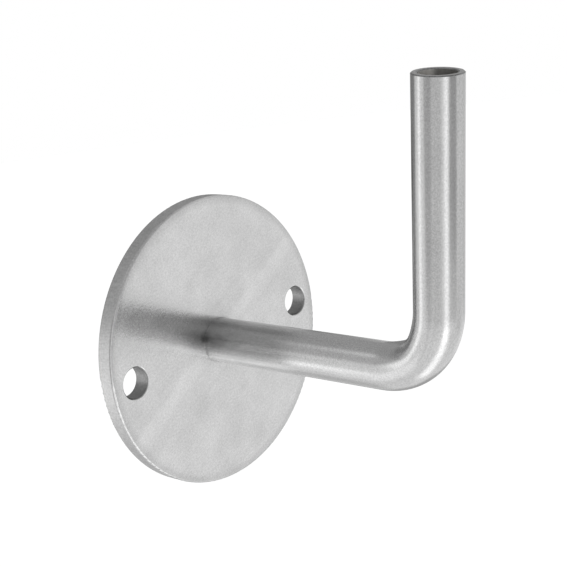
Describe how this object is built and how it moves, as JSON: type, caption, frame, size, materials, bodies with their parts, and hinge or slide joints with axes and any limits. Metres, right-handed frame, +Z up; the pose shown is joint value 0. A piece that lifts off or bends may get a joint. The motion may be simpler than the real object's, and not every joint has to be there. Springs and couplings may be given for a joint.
{
  "type": "handrail bracket",
  "caption": "Wall-mounted handrail bracket: round plate with screw holes and a bent round tube that rises to carry the rail.",
  "frame": {"origin": "centre of the wall plate on its wall face, which is the centre of the screw holes' circle", "axes": "+Y into the wall, so the arm runs out along -Y; +Z up, towards the handrail; +X along the wall to the right, seen from the room"},
  "size_m": [0.0784, 0.0895, 0.1104],
  "materials": {
    "brushed_plate": "fine satin grind on stainless steel, with faint curved marks",
    "brushed_tube": "stainless steel tube, satin ground along its length",
    "ground_weld": "weld metal ground flush, with a slight heat tint"
  },
  "bodies": {
    "root": {"wall_plate": "brushed_plate", "bent_tube": "brushed_tube", "back_weld": "ground_weld"}
  },
  "joints": []
}
